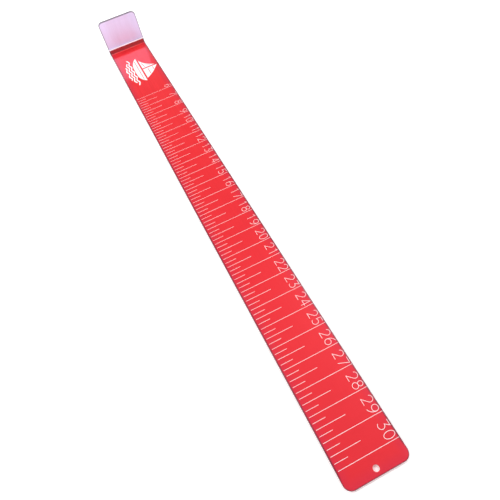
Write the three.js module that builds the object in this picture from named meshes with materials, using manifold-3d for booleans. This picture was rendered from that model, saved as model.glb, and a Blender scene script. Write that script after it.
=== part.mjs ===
// Fish-measuring board: a 30-inch strip of anodised aluminium sheet whose far end is bent up into a
// short lip, and an upright stop plate bonded to the back of that lip.
// Millimetres. +X runs along the scale, from the stop to the hanging hole, +Y across to the side of the
// numbers, +Z up. The origin is on the table under the middle of the whole object.
import * as THREE from "three";
import { mergeVertices } from "three/addons/utils/BufferGeometryUtils.js";
import Module from "manifold-3d";

// ---- Driving dimensions ----
const INCH = 25.4;
const SHEET = 3; // thickness of the board and of the stop plate
const BOARD_WIDTH = 66;
const SCALE_INCHES = 30; // the last graduation
const END_MARGIN = 19; // board beyond the last graduation
const BOARD_CORNER_RADIUS = 8;
const HOLE_DIAMETER = 6; // hanging hole
const HOLE_INSET = 6.75; // from the hole's centre to the end of the board
const LIP_HEIGHT = 9; // above the board's top
const BEND_RADIUS = 1; // inside of the bend

const PLATE_WIDTH = 67;
const PLATE_HEIGHT = 60.5; // from the table
const PLATE_CORNER_RADIUS = 7;

const BOND_THICKNESS = 0.5;
const BOND_END_INSET = 1; // the strip stops short of both ends of the lip

const FIRST_INCH = 6; // no graduations nearer the stop
const PARTS_PER_INCH = 4;
const MARK_WIDTH = 0.45;
const MARK_DEPTH = 0.15;
const MARK_START = 2.5; // from the edge that all graduations start at
const QUARTER_MARK = 13.75;
const HALF_MARK = 31;
const INCH_MARK = 62.75;

const ARC_SEGMENTS = 10; // in a quarter turn

// ---- Places that follow from them ----
const SCALE_LENGTH = SCALE_INCHES * INCH;
const BEHIND_LIP_FACE = SHEET + BOND_THICKNESS + SHEET;
const TOTAL_LENGTH = BEHIND_LIP_FACE + SCALE_LENGTH + END_MARGIN;
const ZERO_X = -TOTAL_LENGTH / 2 + BEHIND_LIP_FACE; // the lip's front face, where the scale starts
const END_X = TOTAL_LENGTH / 2;
const LIP_BACK_X = ZERO_X - SHEET;
const PLATE_FRONT_X = LIP_BACK_X - BOND_THICKNESS;
const FLAT_START_X = ZERO_X + BEND_RADIUS;
const BEND_TOP_Z = SHEET + BEND_RADIUS;
const LIP_TOP_Z = SHEET + LIP_HEIGHT;

// ---- Solids ----
const wasm = await Module();
wasm.setup();

/** A closed three.js geometry as a manifold-3d solid. */
function solid(geometry) {
  const bare = geometry.clone().deleteAttribute("normal").deleteAttribute("uv");
  const merged = mergeVertices(bare, 1e-4);
  return new wasm.Manifold(
    new wasm.Mesh({
      numProp: 3,
      vertProperties: new Float32Array(merged.attributes.position.array),
      triVerts: new Uint32Array(merged.index.array),
    }),
  );
}

/** A manifold-3d solid as a three.js geometry. */
function geometryOf(body) {
  const mesh = body.getMesh();
  const geometry = new THREE.BufferGeometry();
  geometry.setAttribute("position", new THREE.BufferAttribute(mesh.vertProperties, 3));
  geometry.setIndex(new THREE.BufferAttribute(mesh.triVerts, 1));
  geometry.computeVertexNormals();
  return geometry;
}

/** An outline in X and Z, extruded across the object's width and centred on Y. */
function acrossY(shape, width) {
  const options = { depth: width, bevelEnabled: false, curveSegments: ARC_SEGMENTS };
  return new THREE.ExtrudeGeometry(shape, options).rotateX(Math.PI / 2).translate(0, width / 2, 0);
}

/** The flat of the board, with its two rounded corners and the hanging hole. */
function flatOfBoard() {
  const side = BOARD_WIDTH / 2;
  const arcX = END_X - BOARD_CORNER_RADIUS;
  const arcY = side - BOARD_CORNER_RADIUS;
  const outline = new THREE.Shape()
    .moveTo(FLAT_START_X, -side)
    .lineTo(arcX, -side)
    .absarc(arcX, -arcY, BOARD_CORNER_RADIUS, -Math.PI / 2, 0)
    .absarc(arcX, arcY, BOARD_CORNER_RADIUS, 0, Math.PI / 2)
    .lineTo(FLAT_START_X, side)
    .closePath();
  const hole = new THREE.Path().absarc(END_X - HOLE_INSET, 0, HOLE_DIAMETER / 2, 0, 2 * Math.PI);
  outline.holes.push(hole);
  return new THREE.ExtrudeGeometry(outline, {
    depth: SHEET,
    bevelEnabled: false,
    curveSegments: 2 * ARC_SEGMENTS,
  });
}

/** The bend at the far end and the lip that stands up from it. */
function bentLip() {
  const outline = new THREE.Shape()
    .moveTo(FLAT_START_X, SHEET)
    .absarc(FLAT_START_X, BEND_TOP_Z, BEND_RADIUS, -Math.PI / 2, -Math.PI, true)
    .lineTo(ZERO_X, LIP_TOP_Z)
    .lineTo(LIP_BACK_X, LIP_TOP_Z)
    .lineTo(LIP_BACK_X, BEND_TOP_Z)
    .absarc(FLAT_START_X, BEND_TOP_Z, BEND_RADIUS + SHEET, -Math.PI, -Math.PI / 2, false)
    .closePath();
  return acrossY(outline, BOARD_WIDTH);
}

/** How far the graduation at a number of quarter inches runs across the board. */
function markLength(quarter) {
  if (quarter % PARTS_PER_INCH === 0) return INCH_MARK;
  return quarter % (PARTS_PER_INCH / 2) === 0 ? HALF_MARK : QUARTER_MARK;
}

/** The cutter for one graduation, standing proud of the board's top by as much as it cuts. */
function markCutter(quarter) {
  const length = markLength(quarter);
  const x = ZERO_X + (quarter * INCH) / PARTS_PER_INCH;
  const y = -BOARD_WIDTH / 2 + MARK_START + length / 2;
  return new THREE.BoxGeometry(MARK_WIDTH, length, 2 * MARK_DEPTH).translate(x, y, SHEET);
}

function boardGeometry() {
  let body = solid(flatOfBoard()).add(solid(bentLip()));
  const last = SCALE_INCHES * PARTS_PER_INCH;
  for (let quarter = FIRST_INCH * PARTS_PER_INCH; quarter <= last; quarter++) {
    body = body.subtract(solid(markCutter(quarter)));
  }
  return geometryOf(body);
}

/** The upright plate, from the table to well above the lip, with its two top corners rounded. */
function plateGeometry() {
  const side = PLATE_WIDTH / 2;
  const arcY = side - PLATE_CORNER_RADIUS;
  const arcZ = PLATE_HEIGHT - PLATE_CORNER_RADIUS;
  const outline = new THREE.Shape()
    .moveTo(-side, 0)
    .lineTo(side, 0)
    .absarc(arcY, arcZ, PLATE_CORNER_RADIUS, 0, Math.PI / 2)
    .absarc(-arcY, arcZ, PLATE_CORNER_RADIUS, Math.PI / 2, Math.PI)
    .closePath();
  const options = { depth: SHEET, bevelEnabled: false, curveSegments: ARC_SEGMENTS };
  // Stand the outline up: its width goes to Y, its height to Z and its thickness to X.
  return new THREE.ExtrudeGeometry(outline, options)
    .rotateX(Math.PI / 2)
    .rotateZ(Math.PI / 2)
    .translate(PLATE_FRONT_X - SHEET, 0, 0);
}

/** The strip between the flat back of the lip and the plate. */
function bondGeometry() {
  const width = BOARD_WIDTH - 2 * BOND_END_INSET;
  const height = LIP_TOP_Z - BEND_TOP_Z;
  return new THREE.BoxGeometry(BOND_THICKNESS, width, height).translate(
    LIP_BACK_X - BOND_THICKNESS / 2,
    0,
    BEND_TOP_Z + height / 2,
  );
}

// ---- Materials ----
const redAnodised = new THREE.MeshStandardMaterial({ color: 0xe8323c, roughness: 0.3, metalness: 0.8 });
const bareAluminium = new THREE.MeshStandardMaterial({ color: 0xd9d6dc, roughness: 0.35, metalness: 1 });
const foamTape = new THREE.MeshStandardMaterial({ color: 0xeeecec, roughness: 0.9, metalness: 0 });

function piece(name, geometry, material) {
  const mesh = new THREE.Mesh(geometry, material);
  mesh.name = name;
  return mesh;
}

const group = new THREE.Group();
group.add(piece("board", boardGeometry(), redAnodised));
group.add(piece("stop_plate", plateGeometry(), bareAluminium));
group.add(piece("stop_bond_strip", bondGeometry(), foamTape));

export default group;
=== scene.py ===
"""Looks for the fish-measuring board: a red anodised 30-inch rule with an upright bare-metal stop plate.

Metres, in the CAD frame: +X along the scale from the stop to the hanging hole, +Y across to the numbers,
+Z up.
Flat outlines are worked out in millimetres and turned into metres when a mesh is made.
"""
import math

import bmesh
import bpy
from mathutils import Matrix, Vector
from mathutils.geometry import delaunay_2d_cdt


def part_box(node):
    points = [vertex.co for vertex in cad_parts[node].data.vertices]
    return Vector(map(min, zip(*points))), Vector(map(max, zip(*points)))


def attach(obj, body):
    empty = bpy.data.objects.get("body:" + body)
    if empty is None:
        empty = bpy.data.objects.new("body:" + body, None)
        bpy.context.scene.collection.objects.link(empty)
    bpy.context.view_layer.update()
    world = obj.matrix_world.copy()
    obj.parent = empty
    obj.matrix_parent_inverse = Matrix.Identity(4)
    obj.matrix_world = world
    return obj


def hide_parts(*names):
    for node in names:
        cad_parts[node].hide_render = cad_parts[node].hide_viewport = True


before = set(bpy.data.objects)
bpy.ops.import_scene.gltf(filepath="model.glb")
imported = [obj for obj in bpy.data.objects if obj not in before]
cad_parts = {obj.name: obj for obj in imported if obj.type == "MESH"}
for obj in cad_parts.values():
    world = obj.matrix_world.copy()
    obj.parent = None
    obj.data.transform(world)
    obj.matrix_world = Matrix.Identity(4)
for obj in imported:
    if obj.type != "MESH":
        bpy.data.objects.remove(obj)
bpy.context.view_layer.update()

MM = 0.001

# ---- Sizes, in millimetres ----
BOARD_LOW, BOARD_HIGH = (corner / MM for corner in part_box("board"))
PLATE_LOW, PLATE_HIGH = (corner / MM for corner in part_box("stop_plate"))
BOND_LOW, BOND_HIGH = (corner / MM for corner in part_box("stop_bond_strip"))
SHEET = PLATE_HIGH.x - PLATE_LOW.x
ZERO_X = BOARD_LOW.x + SHEET  # the lip's front face, where the scale starts
END_X = BOARD_HIGH.x
HALF_WIDTH = BOARD_HIGH.y

BEND_RADIUS = 1.0  # inside of the bend
BEND_STEPS = 14
CORNER_RADIUS = 8.0
LIP_CORNER_RADIUS = 1.0
HOLE_RADIUS = 3.0
HOLE_X = END_X - 6.75
EDGE_ROUND = 0.5
HOLE_ROUND = 0.2
ROUND_STEPS = 4

PLATE_CORNER_RADIUS = 7.0
PLATE_FOOT_RADIUS = 1.5
PLATE_EDGE_ROUND = 0.7

BOND_CORNER_RADIUS = 0.3
BOND_CORNER_STEPS = 3
BOND_EDGE_ROUND = 0.15

INCH = 25.4
FIRST_INCH, LAST_INCH = 6, 30
PARTS_PER_INCH = 4
MARK_WIDTH = 0.45
MARK_START = 2.5 - HALF_WIDTH
MARK_LENGTHS = {0: 62.75, 2: 31.0}  # whole and half inches; the others are quarters
QUARTER_MARK = 13.75
ENGRAVED = 0.15  # depth of every mark
PAINT_TOP = 0.03  # the paint in a mark lies this far below the board's top
PAINT_FLOOR = 0.005  # clearance under the paint

DIGIT_STROKE = 0.5
DIGIT_HEIGHT = 10.8  # between stroke centres
GLYPH_WIDTH = 0.58  # of a digit 1 high
DIGIT_PITCH = 9.3
DIGIT_BASE_Y = 20.4
NUMBER_GAP = 2.2  # from the last digit to its line

FLAT_START_X = ZERO_X + BEND_RADIUS
BEND_TOP_Z = SHEET + BEND_RADIUS
BEND_LENGTH = math.pi / 2 * (BEND_RADIUS + SHEET / 2)
LIP_START_S = FLAT_START_X - BEND_LENGTH
LIP_END_S = LIP_START_S - (BOARD_HIGH.z - BEND_TOP_Z)


# ---- Flat outlines ----
def arc(x, y, rx, ry, start, end, steps):
    """Points on an elliptical arc, both ends included. Angles in degrees."""
    angles = [math.radians(start + (end - start) * i / steps) for i in range(steps + 1)]
    return [(x + rx * math.cos(a), y + ry * math.sin(a)) for a in angles]


def rounded_box(low, high, radii, steps=12):
    """A box with round corners as (point, outward normal) pairs, anticlockwise from its low corner.

    radii are those of the low-low, high-low, high-high and low-high corners.
    """
    spots = [
        (low[0], low[1], 1, 1, 180),
        (high[0], low[1], -1, 1, 270),
        (high[0], high[1], -1, -1, 0),
        (low[0], high[1], 1, -1, 90),
    ]
    outline = []
    for (x, y, inward_x, inward_y, start), r in zip(spots, radii):
        centre = Vector((x + inward_x * r, y + inward_y * r))
        for i in range(steps + 1):
            a = math.radians(start + 90 * i / steps)
            normal = Vector((math.cos(a), math.sin(a)))
            outline.append((centre + r * normal, normal))
    return outline


def ring_hole(x, y, r, steps=40):
    """A round hole as (point, normal into the hole) pairs, clockwise."""
    angles = [-2 * math.pi * i / steps for i in range(steps)]
    normals = [Vector((math.cos(a), math.sin(a))) for a in angles]
    return [(Vector((x, y)) + r * n, -n) for n in normals]


def stroke(points, width, cap_steps=5):
    """The outline of a pen stroke with round ends along a smooth open line."""
    points = [Vector(p) for p in points]
    along = [(b - a).normalized() for a, b in zip(points, points[1:])]
    tangents = [along[0]]
    tangents += [(a + b).normalized() for a, b in zip(along, along[1:])]
    tangents.append(along[-1])
    lefts = [Vector((-t.y, t.x)) * width / 2 for t in tangents]
    right_side = [p - n for p, n in zip(points, lefts)]
    left_side = [p + n for p, n in zip(points, lefts)]

    def cap(point, normal):
        turns = [Matrix.Rotation(math.pi * i / cap_steps, 2) for i in range(1, cap_steps)]
        return [point + turn @ normal for turn in turns]

    end = cap(points[-1], -lefts[-1])
    start = cap(points[0], lefts[0])
    return right_side + end + left_side[::-1] + start


# ---- Numbers ----
def glyph(digit):
    """The centre lines of a digit's strokes: 1 high and at most about GLYPH_WIDTH wide."""
    six = [
        arc(0.29, 0.30, 0.29, 0.30, 180, 360, 12),
        arc(0.29, 0.30, 0.29, 0.30, 0, 180, 12),
        arc(0.58, 0.30, 0.58, 0.72, 180, 102, 9),
    ]
    shapes = {
        "0": [
            arc(0.29, 0.5, 0.29, 0.5, 90, 270, 16),
            arc(0.29, 0.5, 0.29, 0.5, -90, 90, 16),
        ],
        "1": [[(0.12, 0.83), (0.31, 1)], [(0.31, 1), (0.31, 0)]],
        "2": [arc(0.29, 0.71, 0.29, 0.29, 165, -45, 14) + [(0, 0)], [(0, 0), (0.58, 0)]],
        "3": [
            [(0.03, 1), (0.54, 1)],
            [(0.54, 1), (0.25, 0.6)],
            arc(0.26, 0.31, 0.31, 0.30, 92, -140, 16),
        ],
        "4": [[(0.43, 0), (0.43, 1)], [(0.43, 1), (0, 0.28)], [(0, 0.28), (0.58, 0.28)]],
        "5": [
            [(0.52, 1), (0.09, 1)],
            [(0.09, 1), (0.05, 0.55)],
            arc(0.26, 0.31, 0.31, 0.31, 133, -140, 16),
        ],
        "6": six,
        "7": [[(0.0, 1), (0.57, 1)], [(0.57, 1), (0.18, 0)]],
        "8": [
            arc(0.29, 0.765, 0.235, 0.235, 90, 270, 12),
            arc(0.29, 0.765, 0.235, 0.235, -90, 90, 12),
            arc(0.29, 0.27, 0.29, 0.27, 90, 270, 12),
            arc(0.29, 0.27, 0.29, 0.27, -90, 90, 12),
        ],
        "9": [[(GLYPH_WIDTH - x, 1 - y) for x, y in line] for line in six],
    }
    return shapes[digit]


def number_marks(inch):
    """The stroke outlines of one number, which stands just before its line."""
    text = str(inch)
    last_left = ZERO_X + inch * INCH - NUMBER_GAP - GLYPH_WIDTH * DIGIT_HEIGHT
    outlines = []
    for place, digit in enumerate(reversed(text)):
        left = last_left - place * DIGIT_PITCH
        for line in glyph(digit):
            placed = [(left + x * DIGIT_HEIGHT, DIGIT_BASE_Y + y * DIGIT_HEIGHT) for x, y in line]
            outlines.append(stroke(placed, DIGIT_STROKE))
    return outlines


# ---- Graduations ----
def line_mark(quarter):
    """The outline of the graduation at a number of quarter inches."""
    length = MARK_LENGTHS.get(quarter % PARTS_PER_INCH, QUARTER_MARK)
    x = ZERO_X + quarter * INCH / PARTS_PER_INCH
    low, high = x - MARK_WIDTH / 2, x + MARK_WIDTH / 2
    return [(low, MARK_START), (high, MARK_START), (high, MARK_START + length), (low, MARK_START + length)]


# ---- Emblem: a plain sailing boat over waves ----
EMBLEM_X = ZERO_X + 76.5
EMBLEM_Y = 3.5
SEAM = 0.9  # width of the lines left out of the boat


def curve(start, control, end, steps=14):
    """Points on a curve from start to end, drawn towards control, both ends included."""
    start, control, end = Vector(start), Vector(control), Vector(end)
    ts = [i / steps for i in range(steps + 1)]
    return [(1 - t) ** 2 * start + 2 * t * (1 - t) * control + t * t * end for t in ts]


def on_emblem(points):
    """Points given from the emblem's middle, in their place on the board."""
    return [(EMBLEM_X + x, EMBLEM_Y + y) for x, y in points]


def boat():
    """A generic sailing boat, as outlines to fill and outlines to leave out of them."""
    main_sail = curve((1.6, 26), (20, 15), (30, 0.5)) + [(1.6, 0.5)]
    jib = curve((-1.6, 23.5), (-10, 7), (-29, 0.5)) + [(-1.6, 0.5)]
    hull = curve((-38, -2.2), (-27, -13), (-6, -13)) + curve((8, -13), (29, -13), (36, -2.2))
    main_seams = [[(4, 17.5), (12.5, 17.5)], [(4, 9), (20.5, 9)]]
    jib_seams = [[(-8, 8), (-4, 15.5)], [(-17.5, 3), (-4, 5.5)]]
    stripe = [(-29, -6), (30, -6)]
    filled = [main_sail, jib, hull]
    left_out = [stroke(line, SEAM) for line in (*main_seams, *jib_seams, stripe)]
    return [on_emblem(o) for o in filled], [on_emblem(o) for o in left_out]


def waves():
    """Three rows of swell under the boat, each shorter than the one above."""
    rows = []
    for row, half in enumerate((40, 31, 20)):
        xs = [half * (i / 30 - 1) for i in range(61)]
        line = [(x, -16.2 - 4.4 * row + 1.2 * math.cos(x / 2.6)) for x in xs]
        rows.append(on_emblem(stroke(line, 2.2)))
    return rows


# ---- Meshes ----
FLAT_NORMAL = 0.99999  # a face whose normal runs this far along an axis is flat
SHARP_ANGLE = math.radians(35)
SAME_SPOT = 2e-7  # vertices closer than this are one, in metres
SAME_POINT = 1e-5  # and so are points of the flat outlines closer than this, in millimetres
EVERY_TRIANGLE = 0  # the triangulation's kind of result that keeps all triangles, inside and outside


def bend(s, y, w):
    """A point of the board's flat pattern, w above its underside, in its place on the bent board."""
    if s >= FLAT_START_X:
        return Vector((s, y, w)) * MM
    if s <= LIP_START_S:
        return Vector((ZERO_X - SHEET + w, y, BEND_TOP_Z + LIP_START_S - s)) * MM
    angle = (FLAT_START_X - s) / BEND_LENGTH * math.pi / 2
    r = BEND_RADIUS + SHEET - w
    return Vector((FLAT_START_X - r * math.sin(angle), y, BEND_TOP_Z - r * math.cos(angle))) * MM


def anticlockwise(loop):
    """The loop's points, turned round if they run clockwise."""
    area = sum(a[0] * b[1] - b[0] * a[1] for a, b in zip(loop, [*loop[1:], loop[0]]))
    return loop if area > 0 else loop[::-1]


def triangulate(loops, marks, creases=()):
    """Triangles inside the first loop and outside the others.

    Gives the points, the triangles, and for each triangle the numbers of the marks that it lies in.
    """
    points, edges, faces = [], [], []
    for loop in [*loops, *marks]:
        start = len(points)
        points += [Vector(p) for p in anticlockwise(loop)]
        faces.append(list(range(start, len(points))))
    for a, b in creases:
        edges.append((len(points), len(points) + 1))
        points += [Vector(a), Vector(b)]
    found = delaunay_2d_cdt(points, edges, faces, EVERY_TRIANGLE, SAME_POINT, True)
    holes = set(range(1, len(loops)))
    triangles, owners = [], []
    for triangle, inside in zip(found[2], found[5]):
        inside = set(inside)
        if 0 in inside and not inside & holes:
            triangles.append(triangle)
            owners.append({i - len(loops) for i in inside if i >= len(loops)})
    return found[0], triangles, owners


def round_edge(bm, place, outline, radius, thickness):
    """The rounded edge of a sheet round one loop: rings of vertices from its top to its underside."""
    quarter = [math.pi / 2 * i / ROUND_STEPS for i in range(ROUND_STEPS + 1)]
    heights = [(thickness - radius + radius * math.cos(a), radius * math.sin(a)) for a in quarter]
    heights += [(radius - radius * math.cos(a), radius * math.sin(a)) for a in reversed(quarter)]
    rings = []
    for w, out in heights:
        spots = [p + n * (out - radius) for p, n in outline]
        rings.append([bm.verts.new(place(q.x, q.y, w)) for q in spots])
    for upper, lower in zip(rings, rings[1:]):
        for i in range(len(upper)):
            j = (i + 1) % len(upper)
            bm.faces.new((upper[i], lower[i], lower[j], upper[j]))


def sheet_mesh(name, place, thickness, loops, radii, marks=(), is_mark=None, creases=()):
    """A sheet with rounded edges. Where is_mark says so, its top is sunk by the engraving depth."""
    bm = bmesh.new()
    for outline, radius in zip(loops, radii):
        round_edge(bm, place, outline, radius, thickness)
    flat = [[p - n * radius for p, n in outline] for outline, radius in zip(loops, radii)]
    for w, cuts in ((thickness, marks), (0.0, ())):
        points, triangles, owners = triangulate(flat, cuts, creases)
        sunk = [bool(cuts) and is_mark(inside) for inside in owners]
        top = [bm.verts.new(place(p.x, p.y, w)) for p in points]
        floor = {}
        walls = {}
        for triangle, low in zip(triangles, sunk):
            if low:
                for i in triangle:
                    if i not in floor:
                        floor[i] = bm.verts.new(place(points[i].x, points[i].y, w - ENGRAVED))
                bm.faces.new([floor[i] for i in triangle])
            else:
                bm.faces.new([top[i] for i in (triangle if w else triangle[::-1])])
            for a, b in zip(triangle, triangle[1:] + triangle[:1]):
                walls.setdefault(frozenset((a, b)), []).append((low, a, b))
        for sides in walls.values():
            if len(sides) == 2 and sides[0][0] != sides[1][0]:
                _, a, b = sides[0] if sides[0][0] else sides[1]
                bm.faces.new((top[b], top[a], floor[a], floor[b]))
        for i, vertex in enumerate(top):
            if not vertex.link_faces:
                bm.verts.remove(vertex)
    bmesh.ops.remove_doubles(bm, verts=bm.verts, dist=SAME_SPOT)
    return made_mesh(name, bm)


def inlay_mesh(name, triangulated, belongs, top_w, bottom_w):
    """Closed solids that fill the marks for which belongs is true."""
    points, triangles, owners = triangulated
    bm = bmesh.new()
    levels = [{}, {}]
    edges = {}

    def vertex(level, i):
        if i not in levels[level]:
            w = (bottom_w, top_w)[level]
            levels[level][i] = bm.verts.new(bend(points[i].x, points[i].y, w))
        return levels[level][i]

    for triangle, inside in zip(triangles, owners):
        if not belongs(inside):
            continue
        bm.faces.new([vertex(1, i) for i in triangle])
        bm.faces.new([vertex(0, i) for i in reversed(triangle)])
        for a, b in zip(triangle, triangle[1:] + triangle[:1]):
            edges.setdefault(frozenset((a, b)), []).append((a, b))
    for sides in edges.values():
        if len(sides) == 1:
            a, b = sides[0]
            bm.faces.new((vertex(1, b), vertex(1, a), vertex(0, a), vertex(0, b)))
    return made_mesh(name, bm)


def made_mesh(name, bm):
    """Puts a finished bmesh in the scene, smooth but for its level and upright faces and its sharp edges."""
    bmesh.ops.recalc_face_normals(bm, faces=bm.faces)
    mesh = bpy.data.meshes.new(name)
    bm.to_mesh(mesh)
    bm.free()
    for polygon in mesh.polygons:
        polygon.use_smooth = max(abs(part) for part in polygon.normal) < FLAT_NORMAL
    mesh.set_sharp_from_angle(angle=SHARP_ANGLE)
    obj = bpy.data.objects.new(name, mesh)
    bpy.context.scene.collection.objects.link(obj)
    normals = obj.modifiers.new("face_weighted_normals", "WEIGHTED_NORMAL")
    normals.keep_sharp = True
    return obj


# ---- Materials ----
NOISE_ROUGHNESS = 0.55
# Sockets of the Mix node when it mixes colours. They go by number, because their names repeat.
MIX_AMOUNT, MIX_A, MIX_B, MIX_RESULT = 0, 6, 7, 2


def material(name):
    """A new material, its node tree and its Principled shader."""
    made = bpy.data.materials.new(name)
    made.use_nodes = True
    tree = made.node_tree
    return made, tree, tree.nodes["Principled BSDF"]


def connect(tree, value, socket):
    """Links a value that is a socket, and sets one that isn't."""
    if isinstance(value, bpy.types.NodeSocket):
        tree.links.new(value, socket)
    else:
        socket.default_value = value


def node(tree, kind, settings=None, **inputs):
    """A shader node with its settings and inputs set."""
    made = tree.nodes.new(kind)
    for key, value in (settings or {}).items():
        setattr(made, key, value)
    for key, value in inputs.items():
        connect(tree, value, made.inputs[key])
    return made


def object_place(tree):
    """Object coordinates, in metres."""
    return node(tree, "ShaderNodeTexCoord").outputs["Object"]


def object_axes(tree):
    """The X, Y and Z of the object coordinates."""
    return node(tree, "ShaderNodeSeparateXYZ", Vector=object_place(tree)).outputs


def noise(tree, scale, detail):
    """Fractal noise between 0 and 1, with its own scale along each axis, in cycles per metre."""
    place = object_place(tree)
    mapping = node(tree, "ShaderNodeMapping", {"vector_type": "POINT"}, Scale=scale, Vector=place)
    made = node(tree, "ShaderNodeTexNoise", Scale=1.0, Detail=detail, Roughness=NOISE_ROUGHNESS)
    tree.links.new(mapping.outputs["Vector"], made.inputs["Vector"])
    return made.outputs["Fac"]


def spread(tree, value, low, high, from_low=0.3, from_high=0.7):
    """A value mapped to run from low to high, and held at both. Noise mostly lies between 0.3 and 0.7."""
    made = node(tree, "ShaderNodeMapRange")
    tree.links.new(value, made.inputs["Value"])
    made.inputs["From Min"].default_value = from_low
    made.inputs["From Max"].default_value = from_high
    made.inputs["To Min"].default_value = low
    made.inputs["To Max"].default_value = high
    return made.outputs["Result"]


def mixed(tree, amount, a, b):
    """A colour between a and b."""
    made = tree.nodes.new("ShaderNodeMix")
    made.data_type = "RGBA"
    for index, value in ((MIX_AMOUNT, amount), (MIX_A, a), (MIX_B, b)):
        connect(tree, value, made.inputs[index])
    return made.outputs[MIX_RESULT]


def bump(tree, shader, height, strength, distance):
    """Fine relief on a shader, up to a distance in metres high."""
    made = node(tree, "ShaderNodeBump", Strength=strength, Distance=distance)
    tree.links.new(height, made.inputs["Height"])
    tree.links.new(made.outputs["Normal"], shader.inputs["Normal"])


def math_node(tree, operation, a, b=0.0):
    """One arithmetic step on numbers or sockets."""
    made = node(tree, "ShaderNodeMath", {"operation": operation})
    for index, value in enumerate((a, b)):
        connect(tree, value, made.inputs[index])
    return made.outputs["Value"]


def inside_box(tree, low, high, radius, axes):
    """How far a point lies inside a box with round corners, in metres, from its object coordinates.

    low, high and radius are in millimetres, and axes are the two coordinates that the box is drawn in,
    as names.
    """
    place = object_axes(tree)
    over = []
    for axis, a, b in zip(axes, low, high):
        from_centre = math_node(tree, "SUBTRACT", place[axis], (a + b) / 2 * MM)
        size = math_node(tree, "ABSOLUTE", from_centre)
        over.append(math_node(tree, "SUBTRACT", size, ((b - a) / 2 - radius) * MM))
    outside = [math_node(tree, "MAXIMUM", value, 0.0) for value in over]
    squares = [math_node(tree, "POWER", value, 2.0) for value in outside]
    length = math_node(tree, "SQRT", math_node(tree, "ADD", *squares))
    inner = math_node(tree, "MINIMUM", math_node(tree, "MAXIMUM", *over), 0.0)
    return math_node(tree, "SUBTRACT", radius * MM, math_node(tree, "ADD", length, inner))


def near_edge(tree, distance, width):
    """1 at an edge, falling to 0 at a width in millimetres inside it."""
    made = node(tree, "ShaderNodeMapRange", {"interpolation_type": "SMOOTHSTEP"})
    tree.links.new(distance, made.inputs["Value"])
    made.inputs["From Max"].default_value = width * MM
    made.inputs["To Min"].default_value = 1.0
    made.inputs["To Max"].default_value = 0.0
    return made.outputs["Result"]


# The board's reds. Each keeps its place on the board, whatever the view.
RED = (0.93, 0.020, 0.027, 1)
RED_LIGHT = (0.97, 0.028, 0.036, 1)  # in faint clouds
RED_DEEP = (0.62, 0.014, 0.022, 1)  # in faint streaks along the board
RED_NEAR_SHADE = (0.78, 0.024, 0.036, 1)  # painted shade by the hanging hole, where the light falls off
RED_MARGIN = (0.70, 0.025, 0.055, 1)  # in a margin along the rim
# painted shade on the lip's upright face, which gets little light
RED_LIP_SHADE = (0.30, 0.012, 0.018, 1)
RED_EDGE_SHADE = (0.09, 0.008, 0.028, 1)  # painted shade: a thin dark outline on the top and the lip
RED_SIDE_SHADE = (0.36, 0.012, 0.022, 1)  # painted shade on the side faces, and the same outline on the underside

# In millimetres. A pair is where a look starts to fade in or out and where it is done.
SHADE_FROM_X = -250.0  # painted shade starts to deepen the red here, on the way to the hanging hole
MARGIN_WIDTH = 13.0
OUTLINE = 1.2
LONG_OUTLINE = 2.4  # along the long edges
LONG_OUTLINE_ENDS = (END_X - 16, END_X - 8)  # along the board
TOP_FACE_STARTS = (SHEET - 0.8, SHEET - 0.4)  # heights
LIP_STARTS = (SHEET + 0.5, SHEET + 1.6)  # heights over which the lip's painted shade comes in

MARGIN_AMOUNT = 0.75
STREAK_AMOUNT = 0.25


def red_anodised():
    """Dyed, sealed anodising over fine rolled grain: glossy, with long faint streaks, darker in a margin
    along the rim. Painted shade darkens the lip, the side faces, a thin outline along the edges, and the red
    towards the hanging hole.
    """
    made, tree, shader = material("red_anodised")
    streaks = noise(tree, (14, 900, 900), detail=3)
    clouds = noise(tree, (22, 40, 40), detail=4)
    base = mixed(tree, spread(tree, clouds, 0, 1), RED, RED_LIGHT)
    base = mixed(tree, spread(tree, streaks, 0, STREAK_AMOUNT), base, RED_DEEP)
    place = object_axes(tree)
    x, z = place["X"], place["Z"]

    def rising(value, ends):
        return spread(tree, value, 0, 1, ends[0] * MM, ends[1] * MM)

    # painted shade, deepening the red towards the hanging hole
    base = mixed(tree, rising(x, (SHADE_FROM_X, END_X)), base, RED_NEAR_SHADE)
    # The box reaches past the lip, so that the board has a rim on three sides only.
    low, high = (BOARD_LOW.x - 2 * SHEET, -HALF_WIDTH), (END_X, HALF_WIDTH)
    inside = inside_box(tree, low, high, CORNER_RADIUS, ("X", "Y"))
    margin = math_node(tree, "MULTIPLY", near_edge(tree, inside, MARGIN_WIDTH), MARGIN_AMOUNT)
    base = mixed(tree, margin, base, RED_MARGIN)
    on_top = rising(z, TOP_FACE_STARTS)
    # painted shade on the lip
    base = mixed(tree, rising(z, LIP_STARTS), base, RED_LIP_SHADE)
    before_end = math_node(tree, "SUBTRACT", 1.0, rising(x, LONG_OUTLINE_ENDS))
    long_edge = math_node(tree, "MULTIPLY", near_edge(tree, inside, LONG_OUTLINE), before_end)
    edge = math_node(tree, "MAXIMUM", near_edge(tree, inside, OUTLINE), long_edge)
    # painted shade: a dark outline on the top and the lip, and darker side faces
    base = mixed(tree, edge, base, mixed(tree, on_top, RED_SIDE_SHADE, RED_EDGE_SHADE))
    tree.links.new(base, shader.inputs["Base Color"])
    tree.links.new(spread(tree, streaks, 0.36, 0.46), shader.inputs["Roughness"])
    shader.inputs["Metallic"].default_value = 0.15
    shader.inputs["Coat Weight"].default_value = 1.0
    shader.inputs["Coat Roughness"].default_value = 0.12
    shader.inputs["Coat IOR"].default_value = 1.8
    shader.inputs["Specular IOR Level"].default_value = 0.15
    grain = noise(tree, (60, 2600, 2600), detail=2)
    bump(tree, shader, grain, strength=0.12, distance=0.06 * MM)
    return made


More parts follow.
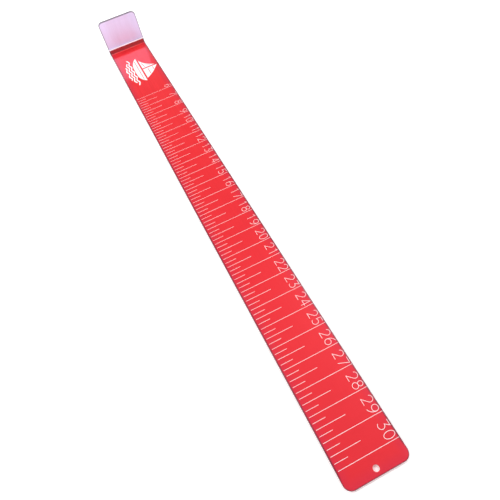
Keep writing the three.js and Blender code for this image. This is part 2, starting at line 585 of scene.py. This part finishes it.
PLATE_PALE = (0.64, 0.57, 0.79, 1)
PLATE_PALER = (0.70, 0.64, 0.88, 1)  # in broad patches
PLATE_BRUSHED = (0.57, 0.51, 0.70, 1)
# painted shade in a band round the plate's rim
PLATE_RIM_SHADE = (0.12, 0.09, 0.11, 1)
PLATE_RIM_WIDTH = 2.2  # in millimetres
PLATE_RIM_AMOUNT = 0.85
PAST_FOOT = 20.0  # the painted rim shade's box reaches this far below the plate, so that its foot has no rim shade


def bare_aluminium():
    """Undyed satin sheet, brushed upright, with a band of painted shade round its deburred rim."""
    made, tree, shader = material("bare_aluminium")
    brushed = noise(tree, (2400, 2400, 50), detail=3)
    bands = noise(tree, (60, 60, 6), detail=2)
    base = mixed(tree, spread(tree, bands, 0, 1), PLATE_PALE, PLATE_PALER)
    base = mixed(tree, spread(tree, brushed, 0, STREAK_AMOUNT), base, PLATE_BRUSHED)
    low, high = (PLATE_LOW.y, PLATE_LOW.z - PAST_FOOT), (PLATE_HIGH.y, PLATE_HIGH.z)
    inside = inside_box(tree, low, high, PLATE_CORNER_RADIUS, ("Y", "Z"))
    rim = math_node(tree, "MULTIPLY", near_edge(tree, inside, PLATE_RIM_WIDTH), PLATE_RIM_AMOUNT)
    # painted shade round the rim
    base = mixed(tree, rim, base, PLATE_RIM_SHADE)
    tree.links.new(base, shader.inputs["Base Color"])
    tree.links.new(spread(tree, brushed, 0.46, 0.58), shader.inputs["Roughness"])
    shader.inputs["Metallic"].default_value = 0.7
    bump(tree, shader, brushed, strength=0.15, distance=0.05 * MM)
    return made


# bare ground metal, tinted pink as a painted reflection of the plate behind it
GROUND_AND_PLATE_REFLECTION = (1.0, 0.80, 0.85, 1)
GROUND_BRIGHT_AND_PLATE_REFLECTION = (1.0, 0.88, 0.92, 1)


def cut_edge():
    """The lip's top edge, bare and ground; its pink tint is a painted reflection of the plate behind it."""
    made, tree, shader = material("cut_edge")
    ground = noise(tree, (3000, 300, 3000), detail=2)
    base = mixed(tree, spread(tree, ground, 0, 1), GROUND_AND_PLATE_REFLECTION, GROUND_BRIGHT_AND_PLATE_REFLECTION)
    tree.links.new(base, shader.inputs["Base Color"])
    shader.inputs["Metallic"].default_value = 0.2
    shader.inputs["Roughness"].default_value = 0.4
    bump(tree, shader, ground, strength=0.2, distance=0.05 * MM)
    return made


def mark_paint(name, dull, bright):
    """Satin fill in engraved marks, slightly uneven."""
    made, tree, shader = material(name)
    patches = noise(tree, (500, 500, 500), detail=3)
    base = mixed(tree, spread(tree, patches, 0, 1), dull, bright)
    tree.links.new(base, shader.inputs["Base Color"])
    shader.inputs["Roughness"].default_value = 0.5
    bump(tree, shader, patches, strength=0.2, distance=0.05 * MM)
    return made


FOAM_DULL = (0.80, 0.77, 0.77, 1)
FOAM_BRIGHT = (0.92, 0.90, 0.90, 1)


def white_foam():
    """The cut edge of a white foam tape."""
    made, tree, shader = material("foam_tape")
    cells = noise(tree, (6000, 6000, 6000), detail=2)
    base = mixed(tree, spread(tree, cells, 0, 1), FOAM_DULL, FOAM_BRIGHT)
    tree.links.new(base, shader.inputs["Base Color"])
    shader.inputs["Roughness"].default_value = 0.85
    bump(tree, shader, cells, strength=0.5, distance=0.08 * MM)
    return made


FLOOR_DULL = (0.90, 0.90, 0.90, 1)
FLOOR_BRIGHT = (0.92, 0.92, 0.92, 1)
FLOOR_GLOW = 0.25  # the floor's own light, which weakens the shadows on it


def pale_floor():
    """Matt white, faintly uneven, with a little light of its own."""
    made, tree, shader = material("floor")
    mottle = noise(tree, (3, 3, 3), detail=2)
    base = mixed(tree, spread(tree, mottle, 0, 1), FLOOR_DULL, FLOOR_BRIGHT)
    tree.links.new(base, shader.inputs["Base Color"])
    shader.inputs["Roughness"].default_value = 0.9
    shader.inputs["Specular IOR Level"].default_value = 0.1
    shader.inputs["Emission Color"].default_value = (1, 1, 1, 1)
    shader.inputs["Emission Strength"].default_value = FLOOR_GLOW
    return made


# ---- The board and its marks ----
MARK_NAMES = ("scale_lines", "scale_numbers", "emblem")


def board_outlines():
    """The outline of the board's flat pattern, and the lines across it where its bend is divided."""
    low = (LIP_END_S, -HALF_WIDTH)
    high = (END_X, HALF_WIDTH)
    corners = (LIP_CORNER_RADIUS, CORNER_RADIUS, CORNER_RADIUS, LIP_CORNER_RADIUS)
    outline = rounded_box(low, high, corners)
    turns = [LIP_START_S + BEND_LENGTH * i / BEND_STEPS for i in range(BEND_STEPS + 1)]
    # The long edges need a point wherever the sheet starts or goes on bending.
    near_side = [(Vector((s, -HALF_WIDTH)), Vector((0, -1))) for s in turns]
    far_side = [(Vector((s, HALF_WIDTH)), Vector((0, 1))) for s in reversed(turns)]
    points_per_corner = len(outline) // 4
    first, rest = outline[:points_per_corner], outline[points_per_corner:]
    second_and_third, last = rest[: 2 * points_per_corner], rest[2 * points_per_corner :]
    edge = HALF_WIDTH - EDGE_ROUND
    creases = [((s, -edge), (s, edge)) for s in turns]
    return first + near_side + second_and_third + far_side + last, creases


def build_board():
    """The board and the fill of its marks, by name."""
    outline, creases = board_outlines()
    loops = [outline, ring_hole(HOLE_X, 0, HOLE_RADIUS)]
    radii = [EDGE_ROUND, HOLE_ROUND]
    quarters = range(FIRST_INCH * PARTS_PER_INCH, LAST_INCH * PARTS_PER_INCH + 1)
    filled, left_out = boat()
    groups = {
        "scale_lines": [line_mark(quarter) for quarter in quarters],
        "scale_numbers": [o for inch in range(FIRST_INCH, LAST_INCH + 1) for o in number_marks(inch)],
        "emblem": filled + waves(),
        "cut": left_out,
    }
    marks, members = [], {}
    for name, outlines in groups.items():
        members[name] = set(range(len(marks), len(marks) + len(outlines)))
        marks += outlines

    def in_mark(inside, names=MARK_NAMES):
        if inside & members["cut"]:
            return False
        return any(inside & members[name] for name in names)

    board = sheet_mesh("board", bend, SHEET, loops, radii, marks, in_mark, creases)
    flat = [[p - n * radius for p, n in loop] for loop, radius in zip(loops, radii)]
    found = triangulate(flat, marks, creases)
    pieces = {"board": board}
    for name in MARK_NAMES:
        pieces[name] = inlay_mesh(
            name,
            found,
            lambda inside, name=name: in_mark(inside, (name,)),
            SHEET - PAINT_TOP,
            SHEET - ENGRAVED + PAINT_FLOOR,
        )
    return pieces


# ---- The stop plate and its bond ----
def build_plate():
    """The upright plate."""
    low = (PLATE_LOW.y, PLATE_LOW.z)
    high = (PLATE_HIGH.y, PLATE_HIGH.z)
    corners = (PLATE_FOOT_RADIUS, PLATE_FOOT_RADIUS, PLATE_CORNER_RADIUS, PLATE_CORNER_RADIUS)
    outline = rounded_box(low, high, corners)

    def stand_up(y, z, w):
        return Vector((PLATE_LOW.x + w, y, z)) * MM

    return sheet_mesh("stop_plate", stand_up, SHEET, [outline], [PLATE_EDGE_ROUND])


def build_bond():
    """The strip between the lip and the plate."""
    low = (BOND_LOW.y, BOND_LOW.z)
    high = (BOND_HIGH.y, BOND_HIGH.z)
    outline = rounded_box(low, high, (BOND_CORNER_RADIUS,) * 4, BOND_CORNER_STEPS)

    def stand_up(y, z, w):
        return Vector((BOND_LOW.x + w, y, z)) * MM

    return sheet_mesh("stop_bond_strip", stand_up, BOND_HIGH.x - BOND_LOW.x, [outline], [BOND_EDGE_ROUND])


# ---- Pieces and their looks ----
CAD_NAMES = ("board", "stop_plate", "stop_bond_strip")
LINE_DULL, LINE_BRIGHT = (0.84, 0.73, 0.76, 1), (0.95, 0.87, 0.89, 1)
EMBLEM_DULL, EMBLEM_BRIGHT = (0.88, 0.86, 0.86, 1), (0.95, 0.94, 0.94, 1)
TOP_EDGE_DEPTH = 1.05 * EDGE_ROUND  # how far down the lip's bare top edge reaches

pieces = build_board()
pieces["stop_plate"] = build_plate()
pieces["stop_bond_strip"] = build_bond()

line_paint = mark_paint("line_paint", LINE_DULL, LINE_BRIGHT)
emblem_paint = mark_paint("emblem_paint", EMBLEM_DULL, EMBLEM_BRIGHT)
looks = {
    "board": (red_anodised(), "red_anodised"),
    "scale_lines": (line_paint, "engraving_paint"),
    "scale_numbers": (line_paint, "engraving_paint"),
    "emblem": (emblem_paint, "engraving_paint"),
    "stop_plate": (bare_aluminium(), "bare_aluminium"),
    "stop_bond_strip": (white_foam(), "foam_tape"),
}
for name, piece in pieces.items():
    look, slot = looks[name]
    piece.data.materials.append(look)
    if name in CAD_NAMES:
        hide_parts(name)
        piece.name = name + "_visual"
    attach(piece, "root")

CUT_EDGE_SLOT = 1
pieces["board"].data.materials.append(cut_edge())
for face in pieces["board"].data.polygons:
    if face.center.z > (BOARD_HIGH.z - TOP_EDGE_DEPTH) * MM:
        face.material_index = CUT_EDGE_SLOT


# ---- Floor, in metres ----
FLOOR_RINGS = (0.6, 1.5)  # radii of the rings that divide its level part
FLOOR_RADIUS = 2.4  # of its level part
TURN_RADIUS = 1.5
TURN_STEPS = 16
WALL_HEIGHT = 0.2  # above the turn


def build_floor():
    """A round floor that turns up into a low wall."""
    turn = arc(FLOOR_RADIUS, TURN_RADIUS, TURN_RADIUS, TURN_RADIUS, -90, 0, TURN_STEPS)
    top = (FLOOR_RADIUS + TURN_RADIUS, TURN_RADIUS + WALL_HEIGHT)
    profile = [(r, 0) for r in FLOOR_RINGS] + turn + [top]
    steps = 96
    angles = [2 * math.pi * i / steps for i in range(steps)]
    bm = bmesh.new()
    rings = []
    for r, z in profile:
        rings.append([bm.verts.new((r * math.cos(a), r * math.sin(a), z)) for a in angles])
    bm.faces.new(rings[0])
    for inner, outer in zip(rings, rings[1:]):
        for i in range(steps):
            j = (i + 1) % steps
            bm.faces.new((inner[i], outer[i], outer[j], inner[j]))
    floor = made_mesh("floor", bm)
    floor.data.materials.append(pale_floor())


build_floor()


# ---- Lights, in metres and watts ----
LIGHTS_AIM = (-0.3, 0, 0)
# Name, place, width, height, power.
SOFTBOXES = (
    ("front", (2.5, 0, 0.75), 3.0, 0.8, 35),
    ("left", (-0.6, -1.35, 1.95), 1.2, 1.2, 34.5),
    ("right", (-0.6, 1.35, 1.95), 1.2, 1.2, 33),
)


def softbox(name, spot, width, height, power):
    """A rectangular light that faces LIGHTS_AIM."""
    data = bpy.data.lights.new(name, "AREA")
    data.shape = "RECTANGLE"
    data.size = width
    data.size_y = height
    data.energy = power
    lamp = bpy.data.objects.new(name, data)
    lamp.location = spot
    lamp.rotation_euler = (Vector(LIGHTS_AIM) - Vector(spot)).to_track_quat("-Z", "Y").to_euler()
    bpy.context.scene.collection.objects.link(lamp)


for box in SOFTBOXES:
    softbox(*box)

WORLD_LOW, WORLD_HIGH = 0.85, 0.1  # strength low down and high up
FADE_START, FADE_END = 24, 31  # degrees above the horizon


def studio_world():
    """White light from all round, bright low down and dim above the floor's wall."""
    world = bpy.data.worlds.new("studio")
    world.use_nodes = True
    tree = world.node_tree
    direction = node(tree, "ShaderNodeTexCoord").outputs["Generated"]
    split = node(tree, "ShaderNodeSeparateXYZ", Vector=direction)
    fade = node(tree, "ShaderNodeMapRange", {"interpolation_type": "SMOOTHSTEP"}, Value=split.outputs["Z"])
    fade.inputs["From Min"].default_value = math.sin(math.radians(FADE_START))
    fade.inputs["From Max"].default_value = math.sin(math.radians(FADE_END))
    fade.inputs["To Min"].default_value = WORLD_LOW
    fade.inputs["To Max"].default_value = WORLD_HIGH
    background = tree.nodes["Background"]
    background.inputs["Color"].default_value = (1, 1, 1, 1)
    tree.links.new(fade.outputs["Result"], background.inputs["Strength"])
    bpy.context.scene.world = world


studio_world()
bpy.context.scene.view_settings.view_transform = "Standard"

# ---- Camera ----
CAMERA_PLACE = (ZERO_X * MM + 0.80562, -0.07034, 0.44226)  # in metres
CAMERA_RIGHT = Vector((0.42770, 0.89350, -0.13687))
CAMERA_DOWN = Vector((0.71699, -0.42755, -0.55057))
SENSOR_WIDTH = 36.0  # in millimetres, like the lens
LENS = 32.242
NEAREST, FURTHEST = 0.01, 20  # what the camera sees, in metres

data = bpy.data.cameras.new("camera")
data.sensor_width = SENSOR_WIDTH
data.lens = LENS
data.clip_start = NEAREST
data.clip_end = FURTHEST
camera = bpy.data.objects.new("camera", data)
axes = Matrix((CAMERA_RIGHT, -CAMERA_DOWN, CAMERA_RIGHT.cross(-CAMERA_DOWN))).transposed()
camera.matrix_world = Matrix.Translation(CAMERA_PLACE) @ axes.to_4x4()
bpy.context.scene.collection.objects.link(camera)
bpy.context.scene.camera = camera
